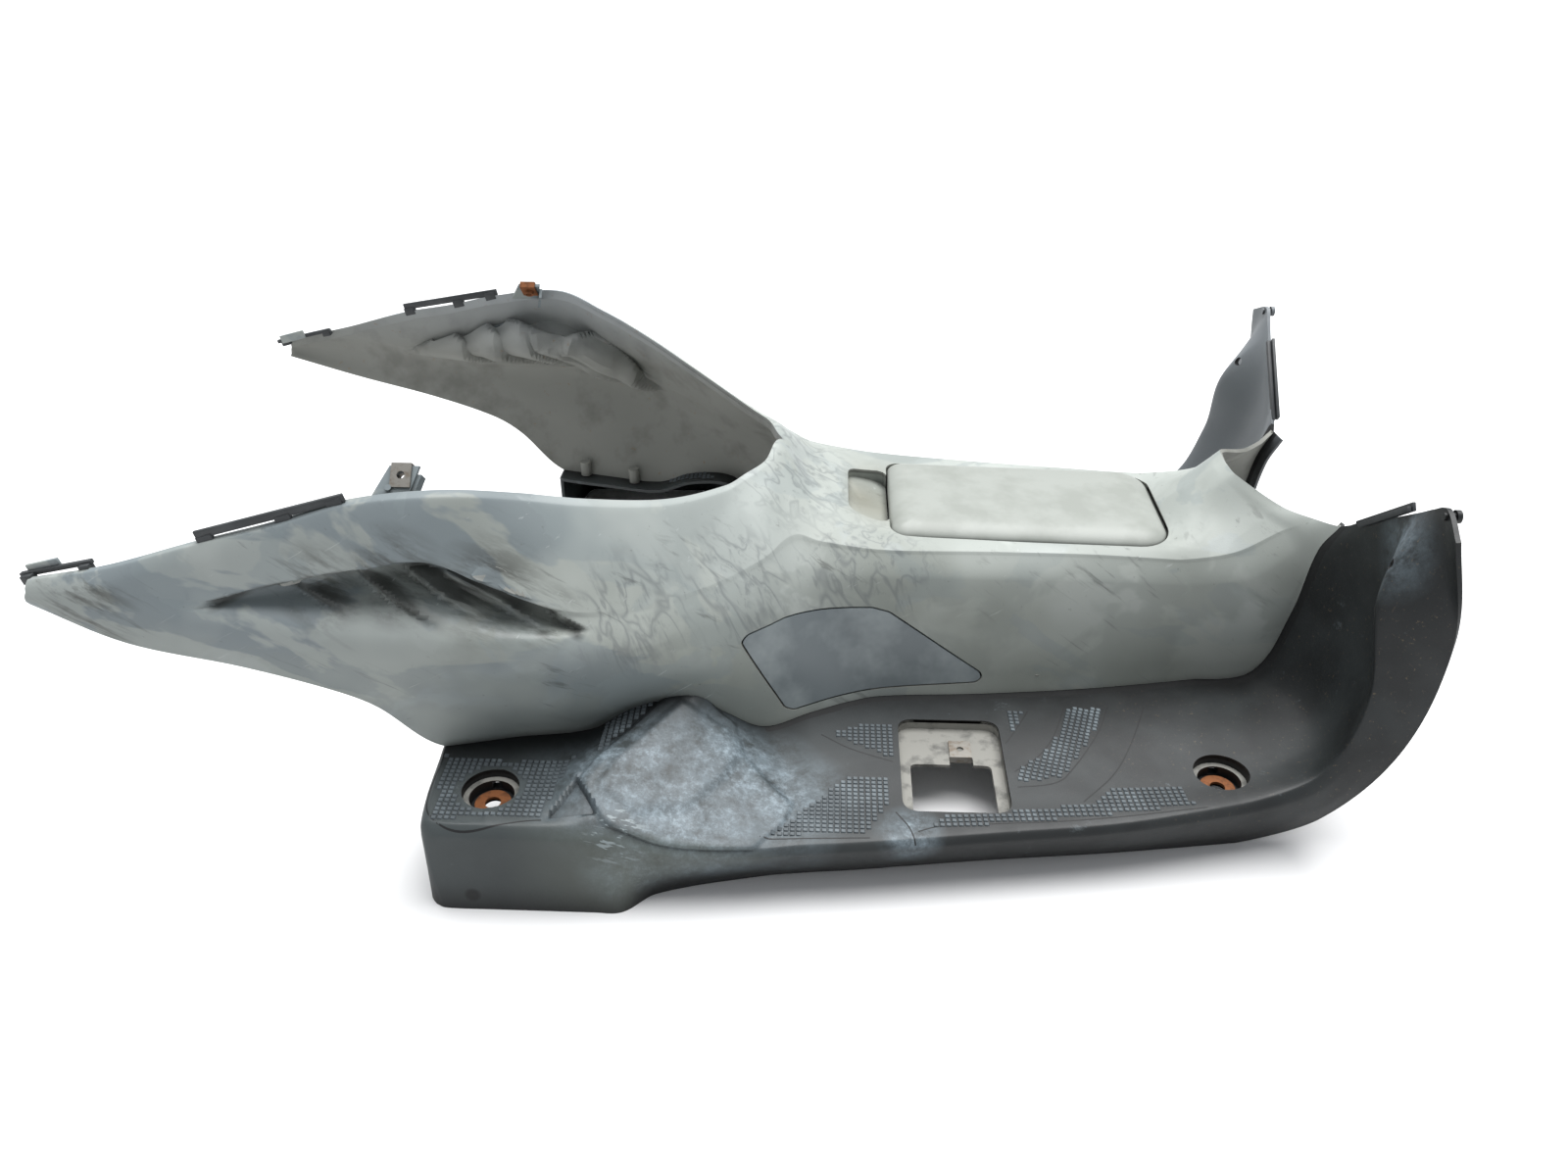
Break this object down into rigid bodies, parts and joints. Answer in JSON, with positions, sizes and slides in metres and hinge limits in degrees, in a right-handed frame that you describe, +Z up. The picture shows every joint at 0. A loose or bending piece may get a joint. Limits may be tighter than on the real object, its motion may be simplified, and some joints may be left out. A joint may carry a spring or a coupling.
{
  "type": "scooter floorboard",
  "caption": "Scooter floorboard with a raised centre tunnel, two rear wings, a footboard at each side, a hinged filler lid and an access cover.",
  "frame": {"origin": "centre of the footprint, on the ground under the floorboards", "axes": "+X to the front of the scooter, +Y to its left side, +Z up"},
  "size_m": [0.9099, 0.5968, 0.2674],
  "materials": {
    "grey_plastic": "matte, weathered",
    "black_plastic": "matte, scuffed",
    "lid_plastic": "satin",
    "dark_plastic": "satin",
    "steel": "zinc plate with rust"
  },
  "bodies": {
    "body": {"tunnel_cover": "grey_plastic", "right_floorboard": "black_plastic", "left_floorboard": "black_plastic", "lid_hinge_pin": "steel", "side_cover": "dark_plastic", "front_right_washer": "steel", "rear_right_washer": "steel", "front_left_washer": "steel", "rear_left_washer": "steel", "right_hatch_nut": "steel", "left_hatch_nut": "steel", "right_wing_nut": "steel", "left_wing_nut": "steel", "right_seam_screws": "steel", "left_seam_screws": "steel"},
    "lid": {"filler_lid": "lid_plastic"}
  },
  "joints": [
    {"name": "lid_hinge", "type": "hinge", "parent": "body", "child": "lid", "pos_m": [0.309, 0, 0.149], "axis": [0, 1, 0], "range_deg": [0, 80]}
  ]
}
